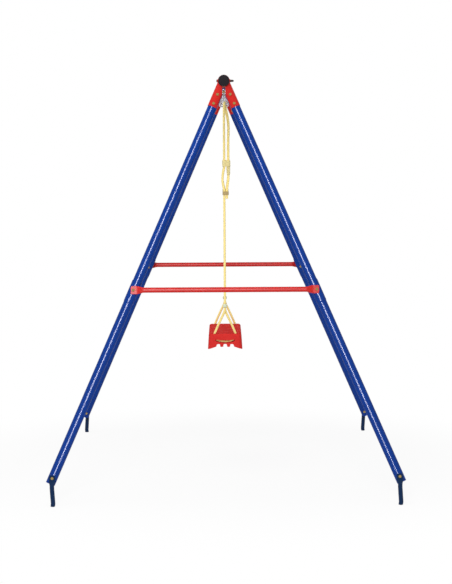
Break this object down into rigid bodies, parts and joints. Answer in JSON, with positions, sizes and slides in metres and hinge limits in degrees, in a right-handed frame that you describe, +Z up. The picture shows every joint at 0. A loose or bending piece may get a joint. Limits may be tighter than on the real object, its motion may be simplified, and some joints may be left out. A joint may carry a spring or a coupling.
{
  "type": "toddler swing set",
  "caption": "Garden swing for a small child: splayed tubular A-frames under a beam, with ground stakes and a moulded seat on adjustable ropes.",
  "frame": {"origin": "on the ground, level with the stake tips, under the middle of the beam", "axes": "+Z up, +Y along the beam from the front end frame to the back one, +X to the right across the frames. The front of the picture looks along +Y."},
  "size_m": [1.5048, 1.7814, 1.801],
  "materials": {
    "blue_paint": "gloss powder coat",
    "navy_paint": "gloss powder coat",
    "red_paint": "gloss powder coat",
    "zinc_plate": "yellow zinc plate",
    "bright_zinc": "bright zinc plate",
    "black_plastic": "satin moulding",
    "red_plastic": "gloss moulding",
    "yellow_rope": "braided polypropylene",
    "yellow_plastic": "satin moulding",
    "tan_plastic": "satin moulding",
    "white_nylon": "natural moulding"
  },
  "bodies": {
    "frame": {"apex_bracket_back": "red_paint", "apex_bracket_front": "red_paint", "beam_cap_back": "black_plastic", "beam_cap_front": "black_plastic", "beam_lock_bolt_back": "zinc_plate", "beam_lock_bolt_front": "zinc_plate", "bracket_bolt_lower_back_left": "zinc_plate", "bracket_bolt_lower_back_right": "zinc_plate", "bracket_bolt_lower_front_left": "zinc_plate", "bracket_bolt_lower_front_right": "zinc_plate", "bracket_bolt_upper_back_left": "zinc_plate", "bracket_bolt_upper_back_right": "zinc_plate", "bracket_bolt_upper_front_left": "zinc_plate", "bracket_bolt_upper_front_right": "zinc_plate", "crossbar_back": "red_paint", "crossbar_bolt_back_left": "zinc_plate", "crossbar_bolt_back_right": "zinc_plate", "crossbar_bolt_front_left": "zinc_plate", "crossbar_bolt_front_right": "zinc_plate", "crossbar_front": "red_paint", "foot_bolt_back_left": "zinc_plate", "foot_bolt_back_right": "zinc_plate", "foot_bolt_front_left": "zinc_plate", "foot_bolt_front_right": "zinc_plate", "ground_stake_back_left": "navy_paint", "ground_stake_back_right": "navy_paint", "ground_stake_front_left": "navy_paint", "ground_stake_front_right": "navy_paint", "hanger_clevis_back": "bright_zinc", "hanger_clevis_front": "bright_zinc", "hanger_nut_back": "zinc_plate", "hanger_nut_front": "zinc_plate", "hanger_pin_back": "zinc_plate", "hanger_pin_front": "zinc_plate", "lower_leg_back_left": "blue_paint", "lower_leg_back_right": "blue_paint", "lower_leg_front_left": "blue_paint", "lower_leg_front_right": "blue_paint", "top_beam": "blue_paint", "upper_leg_back_left": "blue_paint", "upper_leg_back_right": "blue_paint", "upper_leg_front_left": "blue_paint", "upper_leg_front_right": "blue_paint"},
    "swing": {"hanger_bush_back": "white_nylon", "hanger_bush_front": "white_nylon", "main_rope_back": "yellow_rope", "main_rope_front": "yellow_rope", "rope_adjuster_back": "yellow_plastic", "rope_adjuster_front": "yellow_plastic", "swing_link_back": "bright_zinc", "swing_link_front": "bright_zinc", "tail_clip_back": "tan_plastic", "tail_clip_front": "tan_plastic", "triangle_ring_back": "bright_zinc", "triangle_ring_front": "bright_zinc"},
    "seat": {"seat": "red_plastic", "rope_bead_back": "tan_plastic", "rope_bead_front": "tan_plastic", "seat_rope_back": "yellow_rope", "seat_rope_front": "yellow_rope"}
  },
  "joints": [
    {"name": "swing_pivot", "type": "hinge", "parent": "frame", "child": "swing", "pos_m": [0, 0, 1.7328], "axis": [0, 1, 0], "range_deg": [-55, 55]},
    {"name": "seat_rock", "type": "hinge", "parent": "swing", "child": "seat", "pos_m": [0, 0, 0.768], "axis": [0, 1, 0], "range_deg": [-20, 20]}
  ]
}
